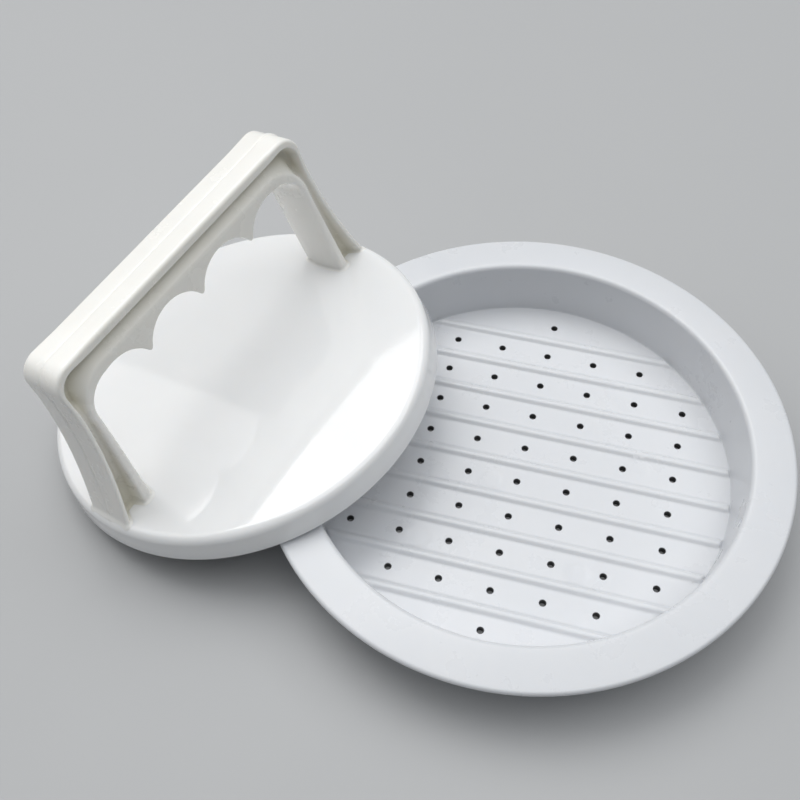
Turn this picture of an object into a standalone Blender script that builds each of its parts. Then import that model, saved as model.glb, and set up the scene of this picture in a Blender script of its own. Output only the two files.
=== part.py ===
"""Patty press: a round mould tray with a ridged drain floor, and a hand press with a bridge handle.

Units are metres and +Z is up. The origin is on the table, under the middle of the tray. The tray's
ridges run along X. The press leans against the tray from -X: the low side of its skirt stands on the
table, and the skirt rests on the tray's flange.
"""
import math

import bmesh
import bpy
from mathutils import Matrix, Vector

MM = 0.001
GAP = 0.3 * MM                     # clearance between neighbouring pieces

# Tray
FLOOR_TOP = 1.9 * MM               # thickness of the drain floor
FLOOR_RADIUS = 51.2 * MM           # inside radius of the wall at the floor
WALL_TOP_RADIUS = 52.7 * MM        # inside radius of the wall under the lip
WALL_THICKNESS = 2.0 * MM
LIP_RADIUS = 1.3 * MM              # rounding between the wall and the flange
FLANGE_RADIUS = 63.2 * MM          # outside radius of the flange
FLANGE_TOP = 16.9 * MM             # height of the flange just outside the lip
FLANGE_FALL = 0.7 * MM             # how much lower its outer shoulder is
FLANGE_THICKNESS = 1.8 * MM
TRAY_SEGMENTS = 96

# Drain floor
RIDGE_PITCH = 10.0 * MM
RIDGE_COUNT = 9
RIDGE_WIDTH = 2.4 * MM
RIDGE_HEIGHT = 0.8 * MM
HOLE_RADIUS = 0.85 * MM
HOLE_COLUMN_PITCH = 12.3 * MM
HOLES_PER_ROW = (1, 5, 7, 7, 7, 7, 7, 7, 5, 1)

# Press disc, in the press's own frame: Z = 0 is the plane of the skirt's lower edge
SKIRT_RADIUS = 49.9 * MM           # outside radius at the lower edge
SHOULDER_RADIUS = 49.2 * MM        # outside radius where the side turns into the rounded edge
SKIRT_THICKNESS = 2.4 * MM         # its lower edge is fully rounded
PLATE_UNDERSIDE = 4.9 * MM
DISC_HEIGHT = 7.6 * MM             # height of the top face at its rim
DOME_RISE = 1.2 * MM
EDGE_ROUNDING = 2.4 * MM
PRESS_RIDGE_HEIGHT = 0.7 * MM

# Handle, in the press's own frame: S runs along the bar, and the height is above the skirt's edge
HANDLE_TOP = 51.6 * MM
BAR_HALF_WIDTH = 5.5 * MM
LEG_HALF_WIDTH = 6.2 * MM
BAR_FLANGE = 2.4 * MM              # thickness of the outer flange on the bar
LEG_FLANGE = 1.1 * MM              # thickness of the outer flange on the legs
INNER_FLANGE = 1.6 * MM            # thickness of the flange around the opening, at a leg's top
INNER_FLANGE_GROWTH = 0.7 * MM     # how much thicker it is at the foot
BAR_EDGE_ROUNDING = 1.3 * MM       # rounding of the outer flange's edges
LEG_EDGE_ROUNDING = 0.5 * MM
BAR_GROOVE_DEPTH = 2.9 * MM        # depth of the groove in each side of the handle
LEG_GROOVE_DEPTH = 3.5 * MM
CHANNEL_FLOOR = 45.2 * MM          # height of the channel's lower side under the bar
LEG_OUTSIDE = 40.4 * MM            # distance of a leg's outer face from the middle, at the top
LEG_OUTSIDE_FLARE = 7.0 * MM       # how much further out the outer face is at the foot
LEG_FLARE_START = 43.3 * MM        # height where that flare begins
LEG_INSIDE = 36.4 * MM
LEG_INSIDE_FLARE = 1.8 * MM
OUTER_CORNER = 5.0 * MM            # rounding of the handle's two upper corners
OPENING_CORNER = 7.0 * MM          # radius of the opening's two upper corners
CORNER_CENTRE_HEIGHT = 35.75 * MM
SCALLOP_PITCH = 17.8 * MM          # one finger
SCALLOP_RADIUS = 9.2 * MM
SCALLOP_HALF_CHORD = 8.2 * MM
SCALLOP_TOP = 43.0 * MM            # height of the top of each finger arch

# Where the press stands
LEAN_ANGLE = math.radians(12.75)
PRESS_CENTRE_X = -71.5 * MM
HANDLE_TURN = math.radians(71.3)   # direction of the bar, turned about the disc's axis from +X


def clear_scene():
    for item in list(bpy.data.objects):
        bpy.data.objects.remove(item, do_unlink=True)


def plastic(name, colour, roughness):
    """A white moulded plastic."""
    material = bpy.data.materials.new(name)
    material.use_nodes = True
    shader = material.node_tree.nodes["Principled BSDF"]
    shader.inputs["Base Color"].default_value = (*colour, 1.0)
    shader.inputs["Roughness"].default_value = roughness
    shader.inputs["Metallic"].default_value = 0.0
    return material


def make_object(name, vertices, faces, material, parent=None):
    """A named object from points and faces, with its faces turned outwards and round sides smooth."""
    mesh = bpy.data.meshes.new(name)
    mesh.from_pydata(vertices, [], faces)
    shell = bmesh.new()
    shell.from_mesh(mesh)
    bmesh.ops.recalc_face_normals(shell, faces=shell.faces)
    shell.to_mesh(mesh)
    shell.free()
    mesh.shade_smooth()
    mesh.set_sharp_from_angle(angle=math.radians(35))
    item = bpy.data.objects.new(name, mesh)
    bpy.context.scene.collection.objects.link(item)
    item.parent = parent
    if material is not None:
        mesh.materials.append(material)
    return item


def arc(centre, radius, start, end, steps):
    """Points on an arc, as (across, up) pairs. Angles are in degrees."""
    points = []
    for step in range(steps + 1):
        angle = math.radians(start + (end - start) * step / steps)
        points.append((centre[0] + radius * math.cos(angle), centre[1] + radius * math.sin(angle)))
    return points


def turned_ring(name, profile, segments, material, parent=None):
    """A closed (radius, height) outline turned round Z."""
    count = len(profile)
    vertices = []
    for segment in range(segments):
        angle = 2 * math.pi * segment / segments
        for radius, height in profile:
            vertices.append((radius * math.cos(angle), radius * math.sin(angle), height))
    faces = []
    for segment in range(segments):
        here = segment * count
        there = (segment + 1) % segments * count
        for point in range(count):
            after = (point + 1) % count
            faces.append((here + point, here + after, there + after, there + point))
    return make_object(name, vertices, faces, material, parent)


def turned_disc(name, profile, segments, material, parent=None):
    """A solid disc: the outline runs from the axis at the top, down the side, to the axis below."""
    inner = profile[1:-1]
    count = len(inner)
    vertices = []
    for segment in range(segments):
        angle = 2 * math.pi * segment / segments
        for radius, height in inner:
            vertices.append((radius * math.cos(angle), radius * math.sin(angle), height))
    top = len(vertices)
    vertices.append((0, 0, profile[0][1]))
    bottom = len(vertices)
    vertices.append((0, 0, profile[-1][1]))
    faces = []
    for segment in range(segments):
        here = segment * count
        there = (segment + 1) % segments * count
        faces.append((top, here, there))
        faces.append((bottom, there + count - 1, here + count - 1))
        for point in range(count - 1):
            faces.append((here + point, here + point + 1, there + point + 1, there + point))
    return make_object(name, vertices, faces, material, parent)


def boolean(item, operation, tool):
    modifier = item.modifiers.new(operation.title(), "BOOLEAN")
    modifier.operation = operation
    modifier.solver = "EXACT"
    modifier.object = tool
    tool.hide_render = True
    tool.display_type = "WIRE"


def ridge_bars(name, reach, base, height, parent=None):
    """Low rounded bars along X, side by side, that end inside a circle. They are joined to a disc."""
    steps = 6
    sunk = 0.6 * MM                # how far the bars reach into the disc
    direction = 1 if height > 0 else -1
    vertices = []
    faces = []
    for number in range(RIDGE_COUNT):
        middle = (number - (RIDGE_COUNT - 1) / 2) * RIDGE_PITCH
        far_side = abs(middle) + RIDGE_WIDTH / 2
        half_length = math.sqrt(reach ** 2 - far_side ** 2)
        outline = [(middle - RIDGE_WIDTH / 2, base - direction * sunk)]
        for step in range(steps + 1):
            angle = math.pi * (1 - step / steps)
            across = middle + RIDGE_WIDTH / 2 * math.cos(angle)
            outline.append((across, base + height * math.sin(angle)))
        outline.append((middle + RIDGE_WIDTH / 2, base - direction * sunk))
        first = len(vertices)
        count = len(outline)
        for end in (-half_length, half_length):
            vertices += [(end, across, up) for across, up in outline]
        faces.append(tuple(range(first, first + count)))
        faces.append(tuple(range(first + 2 * count - 1, first + count - 1, -1)))
        for point in range(count):
            after = (point + 1) % count
            faces.append((first + point, first + count + point, first + count + after, first + after))
    return make_object(name, vertices, faces, None, parent)


def hole_pins(name):
    """One round pin for each drain hole, long enough to go right through the floor."""
    sides = 12
    vertices = []
    faces = []
    for row, count in enumerate(HOLES_PER_ROW):
        y = (row - (len(HOLES_PER_ROW) - 1) / 2) * RIDGE_PITCH
        for column in range(count):
            x = (column - (count - 1) / 2) * HOLE_COLUMN_PITCH
            first = len(vertices)
            for height in (-1 * MM, FLOOR_TOP + 1 * MM):
                for side in range(sides):
                    angle = 2 * math.pi * (side + 0.5) / sides
                    along = x + HOLE_RADIUS * math.cos(angle)
                    vertices.append((along, y + HOLE_RADIUS * math.sin(angle), height))
            faces.append(tuple(range(first + sides - 1, first - 1, -1)))
            faces.append(tuple(range(first + sides, first + 2 * sides)))
            for side in range(sides):
                after = (side + 1) % sides
                faces.append((first + side, first + after, first + sides + after, first + sides + side))
    return make_object(name, vertices, faces, None)


def tray_rim(material):
    """The tray's wall and flange: a tapered wall, a rounded lip and a flange that falls outwards."""
    lip = (WALL_TOP_RADIUS + LIP_RADIUS, FLANGE_TOP - LIP_RADIUS)
    edge_radius = FLANGE_THICKNESS / 2
    edge = (FLANGE_RADIUS - edge_radius, FLANGE_TOP - FLANGE_FALL - edge_radius)
    underside = edge[1] - edge_radius
    wall_outside = WALL_TOP_RADIUS + WALL_THICKNESS
    profile = [(FLOOR_RADIUS, 0), (FLOOR_RADIUS, FLOOR_TOP)]
    profile += arc(lip, LIP_RADIUS, 180, 90, 4)
    for step in (1, 2, 3):
        across = lip[0] + (edge[0] - lip[0]) * step / 4
        profile.append((across, FLANGE_TOP - FLANGE_FALL * (step / 4) ** 1.5))
    profile += arc(edge, edge_radius, 90, -90, 6)
    profile += arc((wall_outside + 1 * MM, underside - 1 * MM), 1 * MM, 90, 180, 2)
    profile.append((FLOOR_RADIUS + WALL_THICKNESS, 0))
    return turned_ring("tray_rim", profile, TRAY_SEGMENTS, material)


def drain_floor(material):
    """The tray's floor: nine low rounded ridges with rows of drain holes between them."""
    radius = FLOOR_RADIUS - GAP
    profile = [(0, FLOOR_TOP), (radius, FLOOR_TOP), (radius, 0), (0, 0)]
    floor = turned_disc("drain_floor", profile, TRAY_SEGMENTS, material)
    inside_facets = math.cos(math.pi / TRAY_SEGMENTS)
    reach = (radius - 0.1 * MM) * inside_facets
    boolean(floor, "UNION", ridge_bars("ridge_guide", reach, FLOOR_TOP, RIDGE_HEIGHT))
    boolean(floor, "DIFFERENCE", hole_pins("hole_cutter"))
    return floor


def disc_top(radius):
    """Height of the disc's upper surface: a shallow dome, then the rounded edge."""
    dome_radius = SHOULDER_RADIUS - EDGE_ROUNDING
    if radius <= dome_radius:
        return DISC_HEIGHT + DOME_RISE * (1 - (radius / dome_radius) ** 2)
    across = min(radius - dome_radius, EDGE_ROUNDING)
    return DISC_HEIGHT - EDGE_ROUNDING + math.sqrt(EDGE_ROUNDING ** 2 - across ** 2)


def press_plate(material, parent):
    """The top of the press: a domed plate with a rounded edge and pressing ridges underneath."""
    dome_radius = SHOULDER_RADIUS - EDGE_ROUNDING
    profile = [(0, disc_top(0))]
    for step in range(1, 7):
        across = dome_radius * step / 7
        profile.append((across, disc_top(across)))
    profile += arc((dome_radius, DISC_HEIGHT - EDGE_ROUNDING), EDGE_ROUNDING, 90, 0, 5)
    profile += [(0, PLATE_UNDERSIDE)]
    plate = turned_disc("press_plate", profile, TRAY_SEGMENTS, material, parent)
    reach = SKIRT_RADIUS - SKIRT_THICKNESS - 1 * MM
    ridges = ridge_bars("press_ridge_guide", reach, PLATE_UNDERSIDE, -PRESS_RIDGE_HEIGHT, parent)
    ridges.rotation_euler = (0, 0, HANDLE_TURN)
    boolean(plate, "UNION", ridges)
    return plate


def press_skirt(material, parent):
    """The wall that hangs from the plate's edge and makes the press's hollow underside."""
    top = PLATE_UNDERSIDE - GAP
    rounding = SKIRT_THICKNESS / 2
    profile = [(SHOULDER_RADIUS, top)]
    profile += arc((SKIRT_RADIUS - rounding, rounding), rounding, 0, -180, 8)
    profile.append((SKIRT_RADIUS - SKIRT_THICKNESS, top))
    return turned_ring("press_skirt", profile, TRAY_SEGMENTS, material, parent)


def leg_outside(height):
    """Distance of a leg's outer face from the middle: upright at the top, flaring towards the foot."""
    drop = max(0.0, LEG_FLARE_START - height) / (LEG_FLARE_START - DISC_HEIGHT)
    return LEG_OUTSIDE + LEG_OUTSIDE_FLARE * drop ** 1.7


def leg_inside(height):
    drop = (CORNER_CENTRE_HEIGHT - height) / (CORNER_CENTRE_HEIGHT - DISC_HEIGHT)
    return LEG_INSIDE + LEG_INSIDE_FLARE * max(0.0, drop) ** 1.1


def scallop_height(along):
    """Height of the bar's lower edge: four finger arches with rounded cusps between them."""
    offset = (abs(along) - SCALLOP_PITCH / 2) % SCALLOP_PITCH
    offset = min(offset, SCALLOP_PITCH - offset)
    sag = SCALLOP_RADIUS - math.sqrt(SCALLOP_RADIUS ** 2 - min(offset, SCALLOP_HALF_CHORD) ** 2)
    height = SCALLOP_TOP - sag
    past = offset - SCALLOP_HALF_CHORD
    if past > 0:
        half_tip = SCALLOP_PITCH / 2 - SCALLOP_HALF_CHORD
        height -= half_tip * 0.6 * (1 - (1 - past / half_tip) ** 2)
    return height


def corner_stations(steps):
    """Pairs of outer and inner points round the corner above the front leg, in (S, height)."""
    start = (-LEG_INSIDE + OPENING_CORNER, CORNER_CENTRE_HEIGHT)
    rounding = (-LEG_OUTSIDE + OUTER_CORNER, HANDLE_TOP - OUTER_CORNER)
    upright = rounding[1] - start[1]
    bend = OUTER_CORNER * math.pi / 2
    flat = start[0] - rounding[0]
    stations = []
    for step in range(steps + 1):
        share = step / steps
        angle = math.pi * (1 - share / 2)
        inner = (start[0] + OPENING_CORNER * math.cos(angle), start[1] + OPENING_CORNER * math.sin(angle))
        travel = share * (upright + bend + flat)
        if travel <= upright:
            height = start[1] + travel
            outer = (-leg_outside(height), height)
        elif travel <= upright + bend:
            turn = math.pi - (travel - upright) / OUTER_CORNER
            outer = (rounding[0] + OUTER_CORNER * math.cos(turn), rounding[1] + OUTER_CORNER * math.sin(turn))
        else:
            outer = (rounding[0] + travel - upright - bend, HANDLE_TOP)
        flange = LEG_FLANGE + (BAR_FLANGE - LEG_FLANGE) * share
        bar_inner_flange = CHANNEL_FLOOR - CORNER_CENTRE_HEIGHT - OPENING_CORNER
        inner_flange = INNER_FLANGE + (bar_inner_flange - INNER_FLANGE) * share
        stations.append((outer, inner, flange, inner_flange, share))
    return stations


def leg_stations(steps, top):
    stations = []
    foot = DISC_HEIGHT + 1.0 * MM
    for step in range(steps + 1):
        height = foot + (top - foot) * step / steps
        outer = (-leg_outside(height), height)
        inner = (-leg_inside(height), height)
        drop = (CORNER_CENTRE_HEIGHT - height) / (CORNER_CENTRE_HEIGHT - DISC_HEIGHT)
        inner_flange = INNER_FLANGE + INNER_FLANGE_GROWTH * drop
        stations.append((outer, inner, LEG_FLANGE, inner_flange, 0.0))
    return stations


def bar_stations():
    """Stations along the bar, closer together round the cusps."""
    half_bar = LEG_INSIDE - OPENING_CORNER
    places = []
    for cusp in (-1, 0, 1):
        for share in (-1, -0.6, -0.2, 0.2, 0.6, 1):
            places.append(cusp * SCALLOP_PITCH + share * 1.1 * MM)
    for arch in (-1.5, -0.5, 0.5, 1.5):
        for share in (-0.75, -0.5, -0.25, 0, 0.25, 0.5, 0.75):
            along = arch * SCALLOP_PITCH + share * SCALLOP_HALF_CHORD
            if abs(along) < half_bar - 1 * MM:
                places.append(along)
    stations = []
    for along in sorted(places):
        lower = scallop_height(along)
        stations.append(((along, HANDLE_TOP), (along, lower), BAR_FLANGE, CHANNEL_FLOOR - lower, 1.0))
    return stations


def mirrored(stations):
    """The same stations on the back half of the handle, in order from the bar outwards."""
    return [((-outer[0], outer[1]), (-inner[0], inner[1]), flange, inner_flange, bar_share)
            for outer, inner, flange, inner_flange, bar_share in reversed(stations)]


def section(depth, flange, inner_flange, bar_share):
    """The grooved section: (depth from the outer face, across) points of one half, then the other.

    bar_share is 0 on the legs and 1 on the bar. On the bar the groove is deepest under the outer
    flange; on the legs it is a plain trough.
    """

    def blend(on_leg, on_bar):
        return on_leg + (on_bar - on_leg) * bar_share

    wide = blend(LEG_HALF_WIDTH, BAR_HALF_WIDTH)
    rounding = blend(LEG_EDGE_ROUNDING, BAR_EDGE_ROUNDING)
    side = depth - inner_flange
    channel = side - flange
    groove = min(blend(LEG_GROOVE_DEPTH, BAR_GROOVE_DEPTH), channel * blend(0.8, 1.05))
    lead = channel * blend(0.42, 0.10)
    tail = channel * blend(0.22, 0.82)
    half = [(0, wide - rounding), (rounding * 0.29, wide - rounding * 0.29), (rounding, wide)]
    half += [(flange, wide), (flange + lead, wide - groove), (side - tail, wide - groove), (side, wide)]
    half += [(depth - 0.5 * MM, wide), (depth, wide - 0.5 * MM)]
    return half + [(deep, -across) for deep, across in reversed(half)]


def handle_piece(name, stations, material, parent, foot_ring=None):
    """A length of the grooved bridge. foot_ring names the ring of points that meets the disc."""
    rings = []
    for number, (outer, inner, flange, inner_flange, bar_share) in enumerate(stations):
        outer = Vector(outer)
        step = Vector(inner) - outer
        depth = step.length
        ring = []
        for deep, across in section(depth, flange, inner_flange, bar_share):
            spot = outer + step * (deep / depth)
            height = spot.y
            if number == foot_ring:
                height = disc_top(math.hypot(spot.x, across)) + GAP
            ring.append((spot.x, across, height))
        rings.append(ring)
    count = len(rings[0])
    vertices = [point for ring in rings for point in ring]
    last = (len(rings) - 1) * count
    faces = [tuple(range(count)), tuple(range(last + count - 1, last - 1, -1))]
    for number in range(len(rings) - 1):
        here = number * count
        for point in range(count):
            after = (point + 1) % count
            faces.append((here + point, here + after, here + count + after, here + count + point))
    piece = make_object(name, vertices, faces, material, parent)
    piece.rotation_euler = (0, 0, HANDLE_TURN)
    return piece


def handle(material, parent):
    corner = corner_stations(10)
    grip = corner + bar_stations() + mirrored(corner)
    handle_piece("handle_grip", grip, material, parent)
    leg = leg_stations(9, CORNER_CENTRE_HEIGHT - GAP)
    handle_piece("handle_leg_front", leg, material, parent, foot_ring=0)
    handle_piece("handle_leg_back", mirrored(leg), material, parent, foot_ring=len(leg) - 1)


def press_frame():
    """The press leans by turning about Y. Its lowest edge stands on the table."""
    frame = bpy.data.objects.new("press_frame", None)
    bpy.context.scene.collection.objects.link(frame)
    rounding = SKIRT_THICKNESS / 2
    height = (SKIRT_RADIUS - rounding) * math.sin(LEAN_ANGLE) + rounding * (1 - math.cos(LEAN_ANGLE))
    frame.location = (PRESS_CENTRE_X, 0, height)
    frame.rotation_euler = (0, -LEAN_ANGLE, 0)
    return frame


def main():
    clear_scene()
    tray_plastic = plastic("tray_plastic", (0.80, 0.82, 0.84), 0.34)
    press_plastic = plastic("press_plastic", (0.84, 0.83, 0.80), 0.22)
    tray_rim(tray_plastic)
    drain_floor(tray_plastic)
    press = press_frame()
    press_plate(press_plastic, press)
    press_skirt(press_plastic, press)
    handle(press_plastic, press)


main()
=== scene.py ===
"""Finished look of the patty press: the mould tray, the hand press leaning on it, floor, light, camera."""
import math

import bmesh
import bpy
from mathutils import Matrix, Vector
from mathutils.geometry import delaunay_2d_cdt


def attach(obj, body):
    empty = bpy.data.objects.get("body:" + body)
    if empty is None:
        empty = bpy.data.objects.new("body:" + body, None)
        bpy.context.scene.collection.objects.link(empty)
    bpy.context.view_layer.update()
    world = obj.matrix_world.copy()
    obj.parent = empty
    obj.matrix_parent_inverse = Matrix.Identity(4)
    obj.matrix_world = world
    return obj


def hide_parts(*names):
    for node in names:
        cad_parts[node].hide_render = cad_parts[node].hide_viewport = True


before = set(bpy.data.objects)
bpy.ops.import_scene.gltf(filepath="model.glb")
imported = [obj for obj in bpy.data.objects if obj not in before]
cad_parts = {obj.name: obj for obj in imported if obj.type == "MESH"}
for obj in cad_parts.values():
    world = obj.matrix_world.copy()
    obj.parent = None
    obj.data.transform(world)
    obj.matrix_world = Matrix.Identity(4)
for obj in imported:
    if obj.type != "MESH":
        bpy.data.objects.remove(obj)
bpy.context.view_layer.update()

MM = 0.001

# Tray
FLOOR_TOP = 1.9 * MM               # thickness of the drain floor
FLOOR_RADIUS = 51.2 * MM           # inside radius of the wall at the floor
WALL_TOP_RADIUS = 52.7 * MM        # inside radius of the wall under the lip
WALL_THICKNESS = 2.0 * MM
LIP_RADIUS = 1.3 * MM              # rounding between the wall and the flange
FLANGE_RADIUS = 63.2 * MM
FLANGE_TOP = 16.9 * MM             # height of the flange just outside the lip
FLANGE_FALL = 0.7 * MM             # how much lower its outer shoulder is
FLANGE_CROWN = 1.5                 # power of the curve over which it falls
FLANGE_THICKNESS = 1.8 * MM
FLOOR_ROUNDING = 0.45 * MM         # inside, between the floor and the wall
WALL_ROUNDING = 1.2 * MM           # outside, between the wall and the flange
BASE_ROUNDING = 0.7 * MM           # outside, at the tray's lower edge
WALL_FOOT = 0.8 * MM               # height down to which the outside of the wall tapers
FLANGE_UNDERSIDE_RADII = (60.0 * MM, 57.5 * MM)

# Drain floor
RIDGE_PITCH = 10.0 * MM
RIDGE_COUNT = 9
RIDGE_HALF_WIDTH = 1.45 * MM
RIDGE_HEIGHT = 0.8 * MM
RIDGE_END_GAP = 0.75 * MM          # where a ridge starts to round off before the wall
RIDGE_END_LENGTH = 0.65 * MM       # length of that rounding
HOLE_RADIUS = 0.80 * MM
HOLE_SIDES = 20
HOLE_DRAFT = 0.14 * MM             # how far the floor dips at the edge of a hole
HOLE_COLUMN_PITCH = 12.3 * MM
HOLES_PER_ROW = (1, 5, 7, 7, 7, 7, 7, 7, 5, 1)
MARK_RADIUS = 2.5 * MM             # round ejector marks in the floor
MARK_DEPTH = 0.05 * MM
MARK_SIDES = 36
EJECTOR_MARKS = ((19.2, 28.0), (18.8, -25.6), (-19.2, -25.6), (28.3, 6.2), (-6.2, -6.2))

# Points that carry the ridges and the rim: insets and offsets in millimetres
RIM_INSETS = (0.35, 0.7, 1.1, 1.6)
RIDGE_END_INSETS = (0.22, 0.45, 0.7, 0.95, 1.25, 1.6)
RIDGE_SHARES = (0, 0.2, 0.4, 0.6, 0.8, 1.0, -0.2, -0.4, -0.6, -0.8, -1.0)
LANE_OFFSETS = (1.9, 3.0, 4.0, 5.0, -1.9, -3.0, -4.0, -5.0)
POINT_SPACING = 1.6
FLAT_LINES = 20                    # lines of points on each side of the middle, where there are no ridges
RIDGE_CLEARANCE = 0.3 * MM         # how far the points inside the rim stay away from a ridge
RIM_CLEARANCE = 1.9 * MM           # how far the other points stay away from the rim
HOLE_RING = 0.5 * MM               # gap between a hole and the ring of points around it
HOLE_SHARE = 0.97                  # triangles whose middle is within this share of a hole are left out
HOLE_CLEARANCE = 0.75 * MM         # how far the other points stay away from a hole
MARK_EDGE = 0.12 * MM              # half the width of the step at a mark's edge
MARK_CLEARANCE = 0.35 * MM         # how far the other points stay away from that step
WELD_DISTANCE = 1e-8

# Press disc, in the press's own frame: Z = 0 is the plane of the skirt's lower edge
SKIRT_RADIUS = 49.9 * MM           # outside radius at the lower edge
SHOULDER_RADIUS = 49.2 * MM        # outside radius where the side turns into the rounded edge
SHOULDER_HEIGHT = 3.4 * MM         # where the side's draft changes
SHOULDER_DRAFT = 0.3 * MM          # how much further out the side is there
SKIRT_THICKNESS = 2.4 * MM         # its lower edge is fully rounded
SKIRT_MIDDLE = 2.6 * MM            # height of the point that divides the skirt's inner face
PLATE_UNDERSIDE = 4.9 * MM
UNDERSIDE_ROUNDING = 0.7 * MM
DISC_HEIGHT = 7.6 * MM             # height of the top face at its rim
DOME_RISE = 1.2 * MM
EDGE_ROUNDING = 2.4 * MM
PRESS_RIDGE_HEIGHT = 0.7 * MM

# Handle, in the press's own frame
HANDLE_TOP = 51.6 * MM
BAR_HALF_WIDTH = 5.5 * MM
LEG_HALF_WIDTH = 6.2 * MM
BAR_FLANGE = 2.4 * MM              # thickness of the outer flange on the bar
LEG_FLANGE = 1.1 * MM              # thickness of the outer flange on the legs
INNER_FLANGE = 1.6 * MM            # thickness of the flange around the opening, at a leg's top
INNER_FLANGE_GROWTH = 0.7 * MM     # how much thicker it is at the foot
BAR_EDGE_ROUNDING = 1.5 * MM       # rounding of the outer flange's edges
LEG_EDGE_ROUNDING = 0.55 * MM
BAR_GROOVE_DEPTH = 2.9 * MM        # depth of the groove in each side of the handle
LEG_GROOVE_DEPTH = 3.5 * MM
CHANNEL_FLOOR = 45.2 * MM          # height of the channel's lower side under the bar
LEG_OUTSIDE = 40.4 * MM            # distance of a leg's outer face from the middle, at the top
LEG_OUTSIDE_FLARE = 7.0 * MM       # how much further out it is at the foot
LEG_OUTSIDE_POWER = 1.7
LEG_FLARE_START = 43.3 * MM        # height at which the flare starts
LEG_INSIDE = 36.4 * MM             # the same for the inner face, at the height of the corner's centre
LEG_INSIDE_FLARE = 1.8 * MM
LEG_INSIDE_POWER = 1.1
LEG_CROWN = 0.9 * MM               # how much the inner face bulges in its middle
OUTER_CORNER = 5.0 * MM
OPENING_CORNER = 7.0 * MM
CORNER_CENTRE_HEIGHT = 35.75 * MM
SCALLOP_PITCH = 17.8 * MM          # one finger
SCALLOP_RADIUS = 9.2 * MM
SCALLOP_HALF_CHORD = 8.2 * MM
SCALLOP_TOP = 43.0 * MM
CUSP_DEPTH = 0.9                   # depth of the tip between two scallops, as a share of its half width
FOOT_FILLET = 0.8 * MM             # between the handle and the disc
FOOT_BLEND = 4.0 * MM              # height over which a leg takes up the dome of the disc
FLASH_HEIGHT = 0.4 * MM            # bump of the parting line at the back bend

# Where the handle's sections are: heights over the disc's rim on a leg, in millimetres, and counts
FOOT_LEVELS = (-0.5, 0.0, 0.08, 0.2, 0.38, 0.62, 0.95, 1.4, 2.0, 3.0, 4.2)
LEG_START = 5.2
LEG_SECTIONS = 26
CORNER_SECTIONS = 30
CUSP_SECTIONS = 8                  # on each side of a cusp, over this reach in millimetres
CUSP_REACH = 1.2
SCALLOP_SECTIONS = 14              # on each side of a scallop's middle
SCALLOP_COVER = 0.92               # how far round the scallop they go
BAR_END_GAP = 0.3 * MM
SECTION_GAP = 0.08 * MM            # sections closer than this are dropped

# The handle's section. Each pair holds the value on a leg and the value on the bar.
GROOVE_LIMIT = (0.8, 1.05)         # greatest depth of the groove, as a share of the channel's width
OUTER_SLOPE = (0.32, 0.10)         # width of the groove's sloping sides, as shares of the channel's
INNER_SLOPE = (0.18, 0.82)
EDGE_RADII = (LEG_EDGE_ROUNDING, BAR_EDGE_ROUNDING)
FLANGE_RADII = (0.4 * MM, 0.5 * MM)
OUTER_WEB_RADII = (1.3 * MM, 0.4 * MM)
INNER_WEB_RADII = (1.3 * MM, 0.6 * MM)
INNER_FLANGE_RADII = (0.7 * MM, 1.6 * MM)
OPENING_RADII = (0.8 * MM, 0.55 * MM)
FACE_SHARES = (0.6, 0.3, 0.0, -0.3, -0.6)
CORNER_STEPS = 6
GROOVE_MARGINS = (0.3 * MM, 0.4 * MM)      # the groove's painted shade stays this far from the outer and inner face
INNER_FACE_DEPTH = 0.5 * MM                # points this close to the inner face take part in its bulge
# The parting line on the outer face: (across, depth of its groove, share of the flash), in millimetres
PARTING_LINE = ((-0.8, 0.0, 0.0), (-0.35, 0.0, 0.6), (-0.16, 0.05, 1.0), (-0.05, 0.11, 1.0),
                (0.05, 0.11, 1.0), (0.16, 0.05, 1.0), (0.45, 0.0, 0.9), (1.4, 0.0, 0.0))

# Where the press stands
LEAN_ANGLE = math.radians(12.75)
PRESS_CENTRE_X = -71.5 * MM
HANDLE_TURN = math.radians(71.3)

# Looks: each colour varies between two tones, the roughness between two values, and the third colour is
# painted shade, given to the walls of the drain holes and to the handle's grooves, where shade falls
TRAY_LOOK = {
    "colour": (0.66, 0.67, 0.69),
    "shade": (0.635, 0.65, 0.675),
    "roughness": (0.22, 0.36),
    "painted_shade_colour": (0.02, 0.02, 0.02),
}
PRESS_LOOK = {
    "colour": (0.83, 0.833, 0.834),
    "shade": (0.805, 0.81, 0.812),
    "roughness": (0.04, 0.08),
    "painted_shade_colour": None,
    "gloss": 0.85,
}
# Painted light: the handle is the same plastic as the disc, given a lighter and warmer colour to stand in for
# how the light falls on it
HANDLE_LOOK = {
    "colour": (0.87, 0.86, 0.825),
    "shade": (0.84, 0.828, 0.79),
    "roughness": (0.18, 0.34),
    "painted_shade_colour": (0.66, 0.635, 0.54),
}
SPECK_COLOUR = (0.42, 0.38, 0.30)

# Stage, in metres and watts
FLOOR_REACH = 4.0
SKY_STRENGTH = 0.18
LIGHT_TARGET = (-0.02, 0, 0.02)
LIGHTS = (
    ("window", (-0.46, 0.345, 0.99), (0.75, 0.75), 3.9, (1.0, 0.99, 0.97)),
    ("side", (-1.15, 0.05, 0.80), (1.3, 1.1), 4.2, (1.0, 0.99, 0.98)),
    ("overhead", (0.16, 0.25, 1.30), (1.8, 1.8), 17.6, (0.98, 0.99, 1.0)),
)
LENS = 45.72
LENS_SHIFT = (-0.0073, -0.001)
CAMERA_PLACE = (0.0144, -0.1332, 0.2200)
CAMERA_TURN = [math.radians(angle) for angle in (35.02, 1.90, 15.42)]

# Points round the tray and the disc
SEGMENTS = 192


# ---------------------------------------------------------------- mesh helpers

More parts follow.
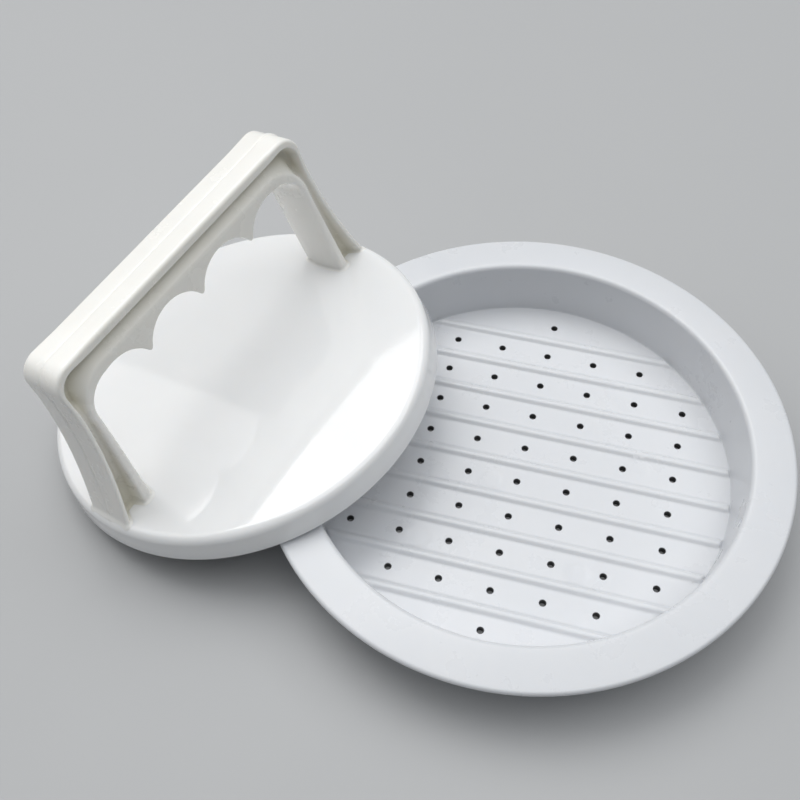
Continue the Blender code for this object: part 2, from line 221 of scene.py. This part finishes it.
def make_object(name, vertices, faces, material, matrix=None, sharp=40, attributes=None):
    if matrix is not None:
        vertices = [matrix @ Vector(v) for v in vertices]
    mesh = bpy.data.meshes.new(name)
    mesh.from_pydata([tuple(v) for v in vertices], [], faces)
    shell = bmesh.new()
    shell.from_mesh(mesh)
    bmesh.ops.recalc_face_normals(shell, faces=shell.faces)
    shell.to_mesh(mesh)
    shell.free()
    for key, values in (attributes or {}).items():
        layer = mesh.attributes.new(key, "FLOAT", "POINT")
        layer.data.foreach_set("value", values)
    mesh.shade_smooth()
    mesh.set_sharp_from_angle(angle=math.radians(sharp))
    mesh.materials.append(material)
    item = bpy.data.objects.new(name, mesh)
    bpy.context.scene.collection.objects.link(item)
    return item


def polar(centre, radius, angle):
    return (centre[0] + radius * math.cos(angle), centre[1] + radius * math.sin(angle))


def arc(centre, radius, start, end, steps):
    """Points on an arc from one angle to another, in degrees."""
    points = []
    for step in range(steps + 1):
        points.append(polar(centre, radius, math.radians(start + (end - start) * step / steps)))
    return points


def rounded(corners, steps):
    """A closed outline from (point, radius) corners: each corner is replaced by an arc."""
    outline = []
    count = len(corners)
    for index, (point, radius) in enumerate(corners):
        here = Vector(point)
        if radius <= 0:
            outline.append(here)
            continue
        back = Vector(corners[index - 1][0]) - here
        ahead = Vector(corners[(index + 1) % count][0]) - here
        room = 0.45 * min(back.length, ahead.length)
        back.normalize()
        ahead.normalize()
        half = math.acos(max(-1.0, min(1.0, back.dot(ahead)))) / 2
        reach = min(radius / math.tan(half), room)
        radius = reach * math.tan(half)
        centre = here + (back + ahead).normalized() * (radius / math.sin(half))
        first = here + back * reach - centre
        last = here + ahead * reach - centre
        for step in range(steps + 1):
            outline.append(centre + first.slerp(last, step / steps) * radius)
    return outline


def lathe_faces(rings, segments, first):
    """Quads between rings of `segments` points that follow one another."""
    faces = []
    for ring in range(rings - 1):
        for segment in range(segments):
            after = (segment + 1) % segments
            a = first + ring * segments
            b = a + segments
            faces.append((a + segment, a + after, b + after, b + segment))
    return faces


def circle(centre, radius, count, turn=0.5):
    """Points round a circle; turn is where the first one is, as a share of a step."""
    return [polar(centre, radius, 2 * math.pi * (step + turn) / count) for step in range(count)]


def hole_centres():
    centres = []
    for row, count in enumerate(HOLES_PER_ROW):
        y = (row - (len(HOLES_PER_ROW) - 1) / 2) * RIDGE_PITCH
        for column in range(count):
            centres.append(((column - (count - 1) / 2) * HOLE_COLUMN_PITCH, y))
    return centres


def ridge_rise(x, y, reach, height):
    """Height of the ridges over the floor at a point; their ends round off just before the wall."""
    line = round(y / RIDGE_PITCH)
    if abs(line) > (RIDGE_COUNT - 1) / 2:
        return 0.0
    across = abs(y - line * RIDGE_PITCH) / RIDGE_HALF_WIDTH
    if across >= 1:
        return 0.0
    rise = height * (0.5 + 0.5 * math.cos(math.pi * across ** 1.5))
    past = (math.hypot(x, y) - (reach - RIDGE_END_GAP)) / RIDGE_END_LENGTH
    if past > 0:
        rise *= math.sqrt(max(0.0, 1 - min(1.0, past) ** 2))
    return rise


def ridged_sheet(radius, rim_points, height_at, holes, marks, ridges):
    """Triangulated round sheet with holes. Returns points, faces, and indices round the rim and each hole."""
    points = []
    edges = []
    loops = []

    def add_loop(ring):
        first = len(points)
        points.extend(ring)
        indices = list(range(first, first + len(ring)))
        for step in range(len(ring)):
            edges.append((indices[step], indices[(step + 1) % len(ring)]))
        return indices

    rim = add_loop(rim_points)
    segments = len(rim_points)
    for number, inset in enumerate(RIM_INSETS):
        ring = circle((0, 0), radius - inset * MM, segments, turn=0 if number % 2 else 0.5)
        for x, y in ring:
            off_line = abs(y - round(y / RIDGE_PITCH) * RIDGE_PITCH)
            if not ridges or off_line > RIDGE_HALF_WIDTH + RIDGE_CLEARANCE:
                points.append((x, y))
    keep_out = []
    for centre in holes:
        loops.append(add_loop(circle(centre, HOLE_RADIUS, HOLE_SIDES)))
        add_loop(circle(centre, HOLE_RADIUS + HOLE_DRAFT, HOLE_SIDES))
        add_loop(circle(centre, HOLE_RADIUS + HOLE_RING, HOLE_SIDES, turn=0))
        keep_out.append((centre, HOLE_RADIUS + HOLE_CLEARANCE))
    for centre in marks:
        for offset in (-MARK_EDGE, MARK_EDGE):
            add_loop(circle(centre, MARK_RADIUS + offset, MARK_SIDES))
    lines = set()
    if ridges:
        for number in range(-(RIDGE_COUNT // 2), RIDGE_COUNT // 2 + 1):
            middle = number * RIDGE_PITCH
            for share in RIDGE_SHARES:
                y = middle + share * RIDGE_HALF_WIDTH
                lines.add(round(y, 7))
                for inset in RIDGE_END_INSETS:
                    x = math.sqrt((radius - inset * MM) ** 2 - y ** 2)
                    points += [(x, y), (-x, y)]
            for offset in LANE_OFFSETS:
                lines.add(round(middle + offset * MM, 7))
    else:
        for step in range(-FLAT_LINES, FLAT_LINES + 1):
            lines.add(step * radius / FLAT_LINES)
    columns = int(radius / (POINT_SPACING * MM))
    for y in sorted(lines):
        for column in range(-columns, columns + 1):
            x = column * radius / columns
            if math.hypot(x, y) > radius - RIM_CLEARANCE:
                continue
            if any(math.hypot(x - c[0], y - c[1]) < reach for c, reach in keep_out):
                continue
            off_edge = [abs(math.hypot(x - c[0], y - c[1]) - MARK_RADIUS) for c in marks]
            if any(gap < MARK_CLEARANCE for gap in off_edge):
                continue
            points.append((x, y))
    flat = [Vector(p) for p in points]
    out_points, _, out_faces, origin, _, _ = delaunay_2d_cdt(flat, edges, [], 0, WELD_DISTANCE)
    new_index = {}
    for index, sources in enumerate(origin):
        for source in sources:
            new_index[source] = index
    faces = []
    for face in out_faces:
        middle = sum((out_points[i] for i in face), Vector((0, 0))) / len(face)
        if any((middle - Vector(c)).length < HOLE_RADIUS * HOLE_SHARE for c in holes):
            continue
        faces.append(tuple(face))
    rim = [new_index[i] for i in rim]
    loops = [[new_index[i] for i in loop] for loop in loops]
    solid = [(p.x, p.y, height_at(p.x, p.y)) for p in out_points]
    return solid, faces, rim, loops


# ---------------------------------------------------------------- the tray

def tray_profile():
    """(radius, height) from the foot of the wall, over the lip and flange, to the underside."""
    lip = (WALL_TOP_RADIUS + LIP_RADIUS, FLANGE_TOP - LIP_RADIUS)
    edge_radius = FLANGE_THICKNESS / 2
    edge = (FLANGE_RADIUS - edge_radius, FLANGE_TOP - FLANGE_FALL - edge_radius)
    foot = FLOOR_TOP + FLOOR_ROUNDING
    foot_radius = FLOOR_RADIUS + 0.1 * MM
    profile = arc((foot_radius - FLOOR_ROUNDING, foot), FLOOR_ROUNDING, -60, 0, 3)
    for share in (0.15, 0.35, 0.55, 0.75, 0.9):
        radius = foot_radius + (WALL_TOP_RADIUS - foot_radius) * share
        profile.append((radius, foot + (lip[1] - foot) * share))
    profile += arc(lip, LIP_RADIUS, 180, 90, 10)
    steps = 12
    for step in range(1, steps):
        across = lip[0] + (edge[0] - lip[0]) * step / steps
        profile.append((across, FLANGE_TOP - FLANGE_FALL * (step / steps) ** FLANGE_CROWN))
    profile += arc(edge, edge_radius, 85, -90, 12)
    underside = edge[1] - edge_radius
    wall_outside = WALL_TOP_RADIUS + WALL_THICKNESS
    base_outside = FLOOR_RADIUS + WALL_THICKNESS
    profile += [(radius, underside) for radius in FLANGE_UNDERSIDE_RADII]
    profile += arc((wall_outside + WALL_ROUNDING, underside - WALL_ROUNDING), WALL_ROUNDING, 90, 175, 6)
    for share in (0.3, 0.6, 0.85):
        height = (underside - WALL_ROUNDING) * (1 - share) + WALL_FOOT * share
        profile.append((wall_outside - (wall_outside - base_outside) * share, height))
    profile += arc((base_outside - BASE_ROUNDING, BASE_ROUNDING), BASE_ROUNDING, -10, -90, 6)
    return profile


def floor_height(x, y):
    height = FLOOR_TOP + ridge_rise(x, y, FLOOR_RADIUS - 0.13 * MM, RIDGE_HEIGHT)
    for mark_x, mark_y in EJECTOR_MARKS:
        if math.hypot(x - mark_x * MM, y - mark_y * MM) < MARK_RADIUS:
            height -= MARK_DEPTH
    return height


def build_tray(material):
    """One closed shell: the drain floor, its flat underside, the wall and the flange."""
    profile = tray_profile()
    holes = hole_centres()
    marks = [(x * MM, y * MM) for x, y in EJECTOR_MARKS]
    top_rim = circle((0, 0), profile[0][0], SEGMENTS, turn=0)
    vertices, faces, rim, loops = ridged_sheet(profile[0][0], top_rim, floor_height, holes, marks, True)
    for loop in loops:
        for index in loop:
            x, y, z = vertices[index]
            vertices[index] = (x, y, FLOOR_TOP - HOLE_DRAFT)
    low_rim = circle((0, 0), profile[-1][0], SEGMENTS, turn=0)
    low = ridged_sheet(profile[-1][0], low_rim, lambda x, y: 0.0, holes, [], False)
    low_first = len(vertices)
    vertices += low[0]
    faces += [tuple(low_first + i for i in reversed(face)) for face in low[1]]
    low_loops = [[low_first + i for i in loop] for loop in low[3]]
    ring_first = len(vertices)
    rings = profile[1:-1]
    for radius, height in rings:
        vertices += [(*p, height) for p in circle((0, 0), radius, SEGMENTS, turn=0)]
    faces += lathe_faces(len(rings), SEGMENTS, ring_first)
    last = ring_first + (len(rings) - 1) * SEGMENTS
    low_rim_indices = [low_first + i for i in low[2]]
    for step in range(SEGMENTS):
        after = (step + 1) % SEGMENTS
        faces.append((rim[step], rim[after], ring_first + after, ring_first + step))
        faces.append((last + step, last + after, low_rim_indices[after], low_rim_indices[step]))
    for upper, lower in zip(loops, low_loops):
        for step in range(len(upper)):
            after = (step + 1) % len(upper)
            faces.append((upper[step], lower[step], lower[after], upper[after]))
    # Painted shade: the walls of the drain holes take the near-black shade colour, standing in for the shade
    # inside the holes
    hole_shade = [0.0] * len(vertices)
    for upper, lower in zip(loops, low_loops):
        for index in upper:
            hole_shade[index] = 0.95
        for index in lower:
            hole_shade[index] = 1.0
    return make_object("mould_tray", vertices, faces, material, attributes={"shade_weight": hole_shade})


# ---------------------------------------------------------------- the press

def disc_top(radius):
    """Height of the disc's top face: a low dome, then the rounded edge."""
    dome_radius = SHOULDER_RADIUS - EDGE_ROUNDING
    if radius <= dome_radius:
        return DISC_HEIGHT + DOME_RISE * (1 - (radius / dome_radius) ** 2)
    across = min(radius - dome_radius, EDGE_ROUNDING)
    return DISC_HEIGHT - EDGE_ROUNDING + math.sqrt(EDGE_ROUNDING ** 2 - across ** 2)


def press_matrix():
    """Place of the leaning press: its lower edge rests on the table."""
    rounding = SKIRT_THICKNESS / 2
    height = (SKIRT_RADIUS - rounding) * math.sin(LEAN_ANGLE) + rounding * (1 - math.cos(LEAN_ANGLE))
    return Matrix.Translation((PRESS_CENTRE_X, 0, height)) @ Matrix.Rotation(-LEAN_ANGLE, 4, "Y")


def build_disc(material, matrix):
    dome_radius = SHOULDER_RADIUS - EDGE_ROUNDING
    inner = SKIRT_RADIUS - SKIRT_THICKNESS
    profile = []
    for step in range(1, 24):
        across = dome_radius * step / 24
        profile.append((across, disc_top(across)))
    profile += arc((dome_radius, DISC_HEIGHT - EDGE_ROUNDING), EDGE_ROUNDING, 90, 4, 14)
    profile.append((SHOULDER_RADIUS + SHOULDER_DRAFT, SHOULDER_HEIGHT))
    rounding = SKIRT_THICKNESS / 2
    profile += arc((SKIRT_RADIUS - rounding, rounding), rounding, 0, -180, 14)
    profile.append((inner, SKIRT_MIDDLE))
    corner = (inner - UNDERSIDE_ROUNDING, PLATE_UNDERSIDE - UNDERSIDE_ROUNDING)
    profile += arc(corner, UNDERSIDE_ROUNDING, 0, 80, 5)

    def under(x, y):
        return PLATE_UNDERSIDE - ridge_rise(x, y, profile[-1][0], PRESS_RIDGE_HEIGHT)

    rim_ring = circle((0, 0), profile[-1][0], SEGMENTS, turn=0)
    vertices, faces, rim, _ = ridged_sheet(profile[-1][0], rim_ring, under, [], [], True)
    first = len(vertices)
    rings = profile[:-1]
    for radius, height in rings:
        vertices += [(*p, height) for p in circle((0, 0), radius, SEGMENTS, turn=0)]
    faces += lathe_faces(len(rings), SEGMENTS, first)
    last = first + (len(rings) - 1) * SEGMENTS
    top = len(vertices)
    vertices.append((0, 0, disc_top(0)))
    for step in range(SEGMENTS):
        after = (step + 1) % SEGMENTS
        faces.append((last + step, last + after, rim[after], rim[step]))
        faces.append((top, first + step, first + after))
    turn = Matrix.Rotation(HANDLE_TURN, 4, "Z")
    return make_object("press_disc", vertices, faces, material, matrix @ turn)


def leg_outside(height):
    """Distance of a leg's outer face from the middle of the handle."""
    drop = max(0.0, LEG_FLARE_START - height) / (LEG_FLARE_START - DISC_HEIGHT)
    return LEG_OUTSIDE + LEG_OUTSIDE_FLARE * drop ** LEG_OUTSIDE_POWER


def leg_inside(height):
    """Distance of a leg's inner face from the middle of the handle."""
    drop = (CORNER_CENTRE_HEIGHT - height) / (CORNER_CENTRE_HEIGHT - DISC_HEIGHT)
    return LEG_INSIDE + LEG_INSIDE_FLARE * max(0.0, drop) ** LEG_INSIDE_POWER


def scallop_height(along):
    """Height of the bar's underside: four arches with a rounded tip between each two."""
    offset = (abs(along) - SCALLOP_PITCH / 2) % SCALLOP_PITCH
    offset = min(offset, SCALLOP_PITCH - offset)
    sag = SCALLOP_RADIUS - math.sqrt(SCALLOP_RADIUS ** 2 - min(offset, SCALLOP_HALF_CHORD) ** 2)
    height = SCALLOP_TOP - sag
    past = offset - SCALLOP_HALF_CHORD
    if past > 0:
        half_tip = SCALLOP_PITCH / 2 - SCALLOP_HALF_CHORD
        height -= half_tip * CUSP_DEPTH * (1 - (1 - past / half_tip) ** 2)
    return height


def bar_places():
    """Places of the sections along the bar, closest together at the cusps and the scallops' ends."""
    half_bar = LEG_INSIDE - OPENING_CORNER
    places = set()
    for cusp in (-1, 0, 1):
        for step in range(-CUSP_SECTIONS, CUSP_SECTIONS + 1):
            places.add(round(cusp * SCALLOP_PITCH + step / CUSP_SECTIONS * CUSP_REACH * MM, 8))
    for arch in (-1.5, -0.5, 0.5, 1.5):
        for step in range(-SCALLOP_SECTIONS, SCALLOP_SECTIONS + 1):
            turn = step / SCALLOP_SECTIONS * math.pi / 2 * SCALLOP_COVER
            along = arch * SCALLOP_PITCH + math.sin(turn) * SCALLOP_HALF_CHORD
            if abs(along) < half_bar - BAR_END_GAP:
                places.add(round(along, 8))
    places = sorted(places)
    kept = [places[0]]
    for place in places[1:]:
        if place - kept[-1] > SECTION_GAP:
            kept.append(place)
    return kept


def handle_stations():
    """Places of the sections, from the front foot over the bar to the back foot.

    Each is (outer point, inner point, outer flange, inner flange, share of the bar's section)."""
    stations = []
    foot = DISC_HEIGHT
    levels = list(FOOT_LEVELS)
    end = (CORNER_CENTRE_HEIGHT - foot) / MM
    for step in range(LEG_SECTIONS):
        levels.append(LEG_START + (end - LEG_START) * step / LEG_SECTIONS)
    for level in levels:
        height = foot + level * MM
        drop = (CORNER_CENTRE_HEIGHT - height) / (CORNER_CENTRE_HEIGHT - foot)
        inner_flange = INNER_FLANGE + INNER_FLANGE_GROWTH * min(1.0, drop)
        outer = (-leg_outside(height), height)
        stations.append((outer, (-leg_inside(height), height), LEG_FLANGE, inner_flange, 0.0))
    centre = (-LEG_INSIDE + OPENING_CORNER, CORNER_CENTRE_HEIGHT)
    corner = (-LEG_OUTSIDE + OUTER_CORNER, HANDLE_TOP - OUTER_CORNER)
    upright = corner[1] - centre[1]
    bend = OUTER_CORNER * math.pi / 2
    flat = centre[0] - corner[0]
    for step in range(CORNER_SECTIONS + 1):
        share = step / CORNER_SECTIONS
        angle = math.pi * (1 - share / 2)
        inner = polar(centre, OPENING_CORNER, angle)
        travel = share * (upright + bend + flat)
        if travel <= upright:
            height = centre[1] + travel
            outer = (-leg_outside(height), height)
        elif travel <= upright + bend:
            turn = math.pi - (travel - upright) / OUTER_CORNER
            outer = polar(corner, OUTER_CORNER, turn)
        else:
            outer = (corner[0] + travel - upright - bend, HANDLE_TOP)
        flange = LEG_FLANGE + (BAR_FLANGE - LEG_FLANGE) * share
        inner_flange = INNER_FLANGE + (CHANNEL_FLOOR - centre[1] - OPENING_CORNER - INNER_FLANGE) * share
        stations.append((outer, inner, flange, inner_flange, share))
    bar = []
    for along in bar_places():
        lower = scallop_height(along)
        bar.append(((along, HANDLE_TOP), (along, lower), BAR_FLANGE, CHANNEL_FLOOR - lower, 1.0))
    back = []
    for outer, inner, *rest in reversed(stations):
        back.append(((-outer[0], outer[1]), (-inner[0], inner[1]), *rest))
    return stations + bar + back


def handle_section(depth, flange, inner_flange, bar_share, flash):
    """The grooved section, corners rounded, as (depth from the outer face, across) points.

    A parting line runs along the outer face, and flash is the height of its bump."""

    def blend(pair):
        return pair[0] + (pair[1] - pair[0]) * bar_share

    wide = blend((LEG_HALF_WIDTH, BAR_HALF_WIDTH))
    side = depth - inner_flange
    channel = side - flange
    groove = min(blend((LEG_GROOVE_DEPTH, BAR_GROOVE_DEPTH)), channel * blend(GROOVE_LIMIT))
    web = wide - groove
    half = [
        ((0, wide), blend(EDGE_RADII)),
        ((flange, wide), blend(FLANGE_RADII)),
        ((flange + channel * blend(OUTER_SLOPE), web), blend(OUTER_WEB_RADII)),
        ((side - channel * blend(INNER_SLOPE), web), blend(INNER_WEB_RADII)),
        ((side, wide), blend(INNER_FLANGE_RADII)),
        ((depth, wide), blend(OPENING_RADII)),
    ]
    other = [((deep, -across), radius) for (deep, across), radius in reversed(half)]
    face = [((depth, wide * share), 0) for share in FACE_SHARES]
    outline = rounded(half + face + other, CORNER_STEPS)
    line = [Vector((sunk * MM - share * flash, across * MM)) for across, sunk, share in PARTING_LINE]
    return outline + line


def foot_flare(above):
    """How far the fillet at the foot reaches out, at a height above the disc."""
    if above >= FOOT_FILLET:
        return 0.0
    return FOOT_FILLET - math.sqrt(FOOT_FILLET ** 2 - (FOOT_FILLET - max(0.0, above)) ** 2)


def groove_shade(deep, across, depth):
    """Strength of the painted shade in the groove: 1 at its bottom, falling to 0 at the flanges."""
    if not GROOVE_MARGINS[0] < deep < depth - GROOVE_MARGINS[1]:
        return 0.0
    return max(0.0, min(1.0, (LEG_HALF_WIDTH - abs(across)) / LEG_GROOVE_DEPTH))


def build_handle(material, matrix):
    stations = handle_stations()
    rings = []
    # Painted shade: each point's weight towards the darker, warmer shade colour in the handle's grooves
    shade_weight = []
    for outer, inner, flange, inner_flange, bar_share in stations:
        outer = Vector(outer)
        step = Vector(inner) - outer
        depth = step.length
        at_bend = outer.x > 0 and 0 < bar_share < 1
        flash = FLASH_HEIGHT * math.sin(math.pi * bar_share) ** 2 if at_bend else 0.0
        outline = handle_section(depth, flange, inner_flange, bar_share, flash)
        above = outer.y - DISC_HEIGHT if abs(step.y) < 1e-9 else 1.0
        flare = foot_flare(above)
        count = len(outline)
        ring = []
        for index, point in enumerate(outline):
            edge = outline[(index + 1) % count] - outline[index - 1]
            normal = Vector((-edge.y, edge.x))
            if normal.length > 0:
                normal.normalize()
            moved = point + normal * flare
            if point.x > depth - INNER_FACE_DEPTH:
                bulge = max(0.0, 1 - (point.y / LEG_HALF_WIDTH) ** 2)
                moved.x += LEG_CROWN * (1 - bar_share) * bulge
            spot = outer + step * (moved.x / depth)
            height = spot.y
            if above < FOOT_BLEND:
                fade = 1 - max(0.0, above) / FOOT_BLEND
                height += (disc_top(math.hypot(spot.x, moved.y)) - DISC_HEIGHT) * fade
            ring.append((spot.x, moved.y, height))
            shade_weight.append(groove_shade(point.x, point.y, depth))
        rings.append(ring)
    count = len(rings[0])
    vertices = [point for ring in rings for point in ring]
    last = (len(rings) - 1) * count
    faces = [tuple(range(count)), tuple(range(last + count - 1, last - 1, -1))]
    for number in range(len(rings) - 1):
        here = number * count
        for point in range(count):
            after = (point + 1) % count
            faces.append((here + point, here + after, here + count + after, here + count + point))
    turn = Matrix.Rotation(HANDLE_TURN, 4, "Z")
    return make_object("press_handle", vertices, faces, material, matrix @ turn, 50, {"shade_weight": shade_weight})


# ---------------------------------------------------------------- plastic

class Graph:
    """Adds nodes to a material and links them."""

    def __init__(self, name):
        self.material = bpy.data.materials.new(name)
        self.material.use_nodes = True
        self.nodes = self.material.node_tree.nodes
        self.links = self.material.node_tree.links
        self.shader = self.nodes["Principled BSDF"]
        self.place = self.add("ShaderNodeTexCoord", (-1500, 0)).outputs["Object"]

    def add(self, kind, at, inputs=None, **settings):
        node = self.nodes.new(kind)
        node.location = at
        for key, value in settings.items():
            setattr(node, key, value)
        for key, value in (inputs or {}).items():
            node.inputs[key].default_value = value
        return node

    def noise(self, at, vector, **inputs):
        node = self.add("ShaderNodeTexNoise", at, inputs)
        self.links.new(vector, node.inputs["Vector"])
        return node.outputs["Fac"]

    def remap(self, at, value, low, high, low_out=0.0, high_out=1.0):
        limits = {"From Min": low, "From Max": high, "To Min": low_out, "To Max": high_out}
        node = self.add("ShaderNodeMapRange", at, limits)
        self.links.new(value, node.inputs["Value"])
        return node.outputs["Result"]

    def mix(self, at, factor, first, second):
        """Mix of two colours; the first may be another node's output."""
        node = self.add("ShaderNodeMix", at, data_type="RGBA")
        self.links.new(factor, node.inputs["Factor"])
        if isinstance(first, tuple):
            node.inputs["A"].default_value = (*first, 1)
        else:
            self.links.new(first, node.inputs["A"])
        node.inputs["B"].default_value = (*second, 1)
        return node.outputs["Result"]

    def bump(self, at, height, strength, distance, normal=None):
        node = self.add("ShaderNodeBump", at, {"Strength": strength, "Distance": distance})
        self.links.new(height, node.inputs["Height"])
        if normal is not None:
            self.links.new(normal, node.inputs["Normal"])
        return node.outputs["Normal"]


def speck_mask(graph):
    """Strength of the dark specks: small dots in a few cells of a Voronoi pattern."""
    cells = graph.add("ShaderNodeTexVoronoi", (-1200, 0), {"Scale": 95.0})
    graph.links.new(graph.place, cells.inputs["Vector"])
    dot = graph.remap((-950, 0), cells.outputs["Distance"], 0.03, 0.018)
    chosen = graph.add("ShaderNodeMath", (-950, -150), {1: 0.86}, operation="GREATER_THAN")
    graph.links.new(cells.outputs["Color"], chosen.inputs[0])
    both = graph.add("ShaderNodeMath", (-750, -50), operation="MULTIPLY")
    graph.links.new(dot, both.inputs[0])
    graph.links.new(chosen.outputs["Value"], both.inputs[1])
    faint = graph.add("ShaderNodeMath", (-600, -50), {1: 0.55}, operation="MULTIPLY")
    graph.links.new(both.outputs["Value"], faint.inputs[0])
    return faint.outputs["Value"]


def surface_normal(graph):
    """Scuffs that run one way, a fine orange peel, and the slow waves of a moulded wall."""
    turned = {"Scale": (1.0, 14.0, 6.0), "Rotation": (0.2, 0.1, 0.7)}
    stretch = graph.add("ShaderNodeMapping", (-1350, -700), turned)
    graph.links.new(graph.place, stretch.inputs["Vector"])
    scuff = graph.noise((-1150, -700), stretch.outputs["Vector"], Scale=60.0, Detail=4.0)
    peel = graph.noise((-1150, -950), graph.place, Scale=420.0, Detail=2.0)
    wave = graph.noise((-1150, -1150), graph.place, Scale=45.0, Detail=1.0)
    normal = graph.bump((-800, -700), scuff, 0.12, 0.03 * MM)
    normal = graph.bump((-600, -800), peel, 0.25, 0.02 * MM, normal)
    return graph.bump((-400, -900), wave, 0.5, 0.03 * MM, normal)


def plastic(name, colour, shade, roughness, painted_shade_colour, gloss=0.5):
    """Moulded white plastic with faint flow marks, fine surface texture, scuffs and a few specks.

    Where the mesh has a painted-shade weight, the colour goes towards the painted shade colour: painted shade
    in the drain holes and in the handle's grooves."""
    graph = Graph(name)
    flow = graph.noise((-1200, 300), graph.place, Scale=28.0, Detail=3.0, Distortion=1.6)
    base = graph.mix((-700, 300), graph.remap((-950, 300), flow, 0.2, 0.8), colour, shade)
    base = graph.mix((-450, 200), speck_mask(graph), base, SPECK_COLOUR)
    # Painted shade in the drain holes and the handle's grooves
    if painted_shade_colour is not None:
        shade_weight = graph.add("ShaderNodeAttribute", (-700, 550), attribute_name="shade_weight")
        base = graph.mix((-250, 300), shade_weight.outputs["Fac"], base, painted_shade_colour)
    rub = graph.noise((-1200, -350), graph.place, Scale=70.0, Detail=6.0, Roughness=0.65)
    rough = graph.remap((-950, -350), rub, 0.15, 0.85, *roughness)
    shader = graph.shader
    graph.links.new(base, shader.inputs["Base Color"])
    graph.links.new(rough, shader.inputs["Roughness"])
    graph.links.new(surface_normal(graph), shader.inputs["Normal"])
    shader.inputs["IOR"].default_value = 1.49
    shader.inputs["Specular IOR Level"].default_value = gloss
    shader.inputs["Subsurface Weight"].default_value = 0.25
    shader.inputs["Subsurface Radius"].default_value = (1.0, 0.9, 0.8)
    shader.inputs["Subsurface Scale"].default_value = 1.5 * MM
    return graph.material


# ---------------------------------------------------------------- floor, light and camera

def area_light(name, place, target, size, power, colour):
    data = bpy.data.lights.new(name, "AREA")
    data.shape = "RECTANGLE"
    data.size = size[0]
    data.size_y = size[1]
    data.energy = power
    data.color = colour
    light = bpy.data.objects.new(name, data)
    light.location = place
    light.rotation_euler = (Vector(target) - Vector(place)).to_track_quat("-Z", "Y").to_euler()
    bpy.context.scene.collection.objects.link(light)
    return light


def build_floor():
    mesh = bpy.data.meshes.new("studio_floor")
    reach = FLOOR_REACH
    corners = [(-reach, -reach, 0), (reach, -reach, 0), (reach, reach, 0), (-reach, reach, 0)]
    mesh.from_pydata(corners, [], [(0, 1, 2, 3)])
    floor = bpy.data.objects.new("studio_floor", mesh)
    bpy.context.scene.collection.objects.link(floor)
    floor.location.z = -0.02 * MM
    graph = Graph("floor_paint")
    grain = graph.noise((-700, 0), graph.place, Scale=6.0, Detail=8.0)
    tone = graph.mix((-400, 100), grain, (0.40, 0.405, 0.41), (0.43, 0.435, 0.44))
    graph.links.new(tone, graph.shader.inputs["Base Color"])
    graph.shader.inputs["Roughness"].default_value = 0.6
    mesh.materials.append(graph.material)


def build_light():
    world = bpy.data.worlds.new("studio")
    world.use_nodes = True
    background = world.node_tree.nodes["Background"]
    background.inputs["Color"].default_value = (0.9, 0.95, 1.0, 1)
    background.inputs["Strength"].default_value = SKY_STRENGTH
    bpy.context.scene.world = world
    for name, place, size, power, colour in LIGHTS:
        area_light(name, place, LIGHT_TARGET, size, power, colour)


def build_camera():
    scene = bpy.context.scene
    scene.view_settings.view_transform = "Standard"
    data = bpy.data.cameras.new("camera")
    data.sensor_width = 36.0
    data.lens = LENS
    data.shift_x, data.shift_y = LENS_SHIFT
    data.clip_start = 0.01
    camera = bpy.data.objects.new("camera", data)
    camera.location = CAMERA_PLACE
    camera.rotation_euler = CAMERA_TURN
    scene.collection.objects.link(camera)
    scene.camera = camera


def main():
    build_floor()
    build_light()
    build_camera()
    tray_white = plastic("tray_white", **TRAY_LOOK)
    press_white = plastic("press_white", **PRESS_LOOK)
    handle_white = plastic("handle_white", **HANDLE_LOOK)
    tray = build_tray(tray_white)
    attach(tray, "tray")
    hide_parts("tray_rim", "drain_floor")
    matrix = press_matrix()
    disc = build_disc(press_white, matrix)
    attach(disc, "press")
    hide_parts("press_plate", "press_skirt")
    handle = build_handle(handle_white, matrix)
    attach(handle, "press")
    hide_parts("handle_grip", "handle_leg_front", "handle_leg_back")


main()
